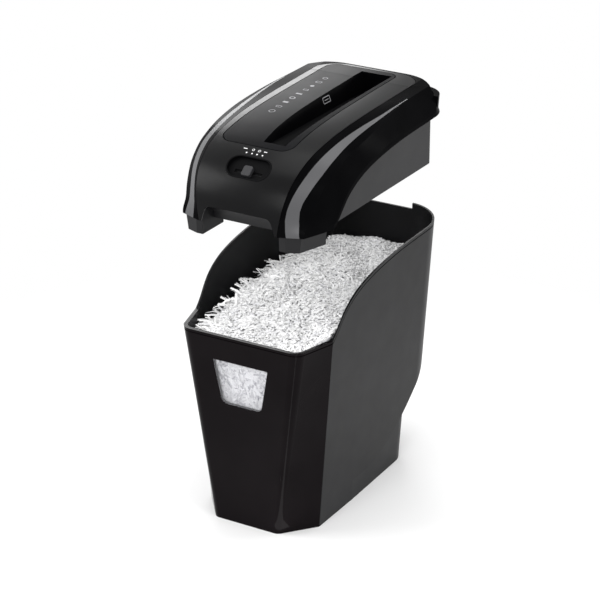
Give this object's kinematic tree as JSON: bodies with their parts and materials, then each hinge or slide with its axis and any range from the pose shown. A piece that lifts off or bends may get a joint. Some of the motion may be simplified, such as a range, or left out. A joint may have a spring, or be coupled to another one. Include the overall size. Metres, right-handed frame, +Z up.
{
  "type": "paper shredder",
  "caption": "Desk-side paper shredder: a motor-driven cutter head with a paper slot, a mode switch and side wings, lifted straight off a tapered waste bin with a front window.",
  "frame": {"origin": "on the floor under the bin, on the middle plane between its sides, 0.179 m in front of the bin's rear face", "axes": "+X to the right seen from the front, +Y to the rear, +Z up; the front with the window faces -Y"},
  "size_m": [0.196, 0.3305, 0.4836],
  "materials": {
    "bin_satin": "satin, fine grain",
    "bin_gloss": "polished",
    "window_clear": "polished, smoke tinted",
    "cover_satin": "satin",
    "frame_gloss": "polished",
    "stripe_grey": "satin",
    "housing_satin": "fine grain",
    "knob_black": "satin",
    "steel": "plain",
    "cutter_steel": "ground",
    "bronze": "sintered",
    "gear_plastic": "moulded",
    "board_green": "laminate",
    "part_black": "moulded",
    "rubber": "moulded"
  },
  "bodies": {
    "bin": {"bin_body": "bin_satin", "bin_front_panel": "bin_gloss", "bin_window": "window_clear"},
    "head": {"top_cover": "cover_satin", "outer_frame": "frame_gloss", "stripe_left": "stripe_grey", "stripe_right": "stripe_grey", "slot_panel": "cover_satin", "lower_housing": "housing_satin", "housing_screws": "steel", "switch_bezel": "knob_black", "switch_body": "part_black", "cable_gland": "rubber", "front_plate": "steel", "rear_plate": "steel", "tie_rods": "steel", "tie_rod_nuts": "steel", "shaft_bushes": "bronze", "left_comb": "part_black", "right_comb": "part_black", "idler_pin": "steel", "idler_clip": "steel", "motor_can": "steel", "motor_bell": "part_black", "motor_screws": "steel", "control_board": "board_green", "board_components": "part_black", "interlock_switch": "part_black", "sensor_pin": "steel", "sensor_switch": "part_black"},
    "drive": {"drive_shaft": "steel", "drive_discs": "cutter_steel", "drive_timing_gear": "cutter_steel", "drive_gear": "gear_plastic"},
    "driven": {"driven_shaft": "steel", "driven_discs": "cutter_steel", "driven_timing_gear": "cutter_steel"},
    "compound": {"compound_gear": "gear_plastic"},
    "rotor": {"motor_rotor": "cutter_steel", "motor_pinion": "bronze"},
    "switch": {"switch_knob": "knob_black"},
    "lever": {"sensor_lever": "knob_black"},
    "plunger": {"interlock_plunger": "knob_black"}
  },
  "joints": [
    {"name": "head_lift", "type": "slide", "parent": "bin", "child": "head", "axis": [0, 0, 1], "range_m": [-0.135, 0]},
    {"name": "drive_spin", "type": "hinge", "parent": "head", "child": "drive", "pos_m": [0.001, 0, 0.423], "axis": [0, 1, 0], "continuous": true},
    {"name": "driven_spin", "type": "hinge", "parent": "head", "child": "driven", "pos_m": [0.029, 0, 0.423], "axis": [0, 1, 0], "continuous": true},
    {"name": "compound_spin", "type": "hinge", "parent": "head", "child": "compound", "pos_m": [-0.03087, 0, 0.423], "axis": [0, 1, 0], "continuous": true},
    {"name": "rotor_spin", "type": "hinge", "parent": "head", "child": "rotor", "pos_m": [-0.05368, 0, 0.423], "axis": [0, 1, 0], "continuous": true},
    {"name": "switch_slide", "type": "slide", "parent": "head", "child": "switch", "axis": [1, 0, 0], "range_m": [-0.0146, 0.0073]},
    {"name": "sensor_swing", "type": "hinge", "parent": "head", "child": "lever", "pos_m": [0.026, 0.026, 0.452], "axis": [0, 1, 0], "range_deg": [-25, 0]},
    {"name": "plunger_push", "type": "slide", "parent": "head", "child": "plunger", "axis": [0, 0, 1], "range_m": [0, 0.003]}
  ],
  "couplings": [
    {"joint": "driven_spin", "follows": "drive_spin", "ratio": -1},
    {"joint": "compound_spin", "follows": "drive_spin", "ratio": -2.9231},
    {"joint": "rotor_spin", "follows": "drive_spin", "ratio": 9.8935}
  ]
}
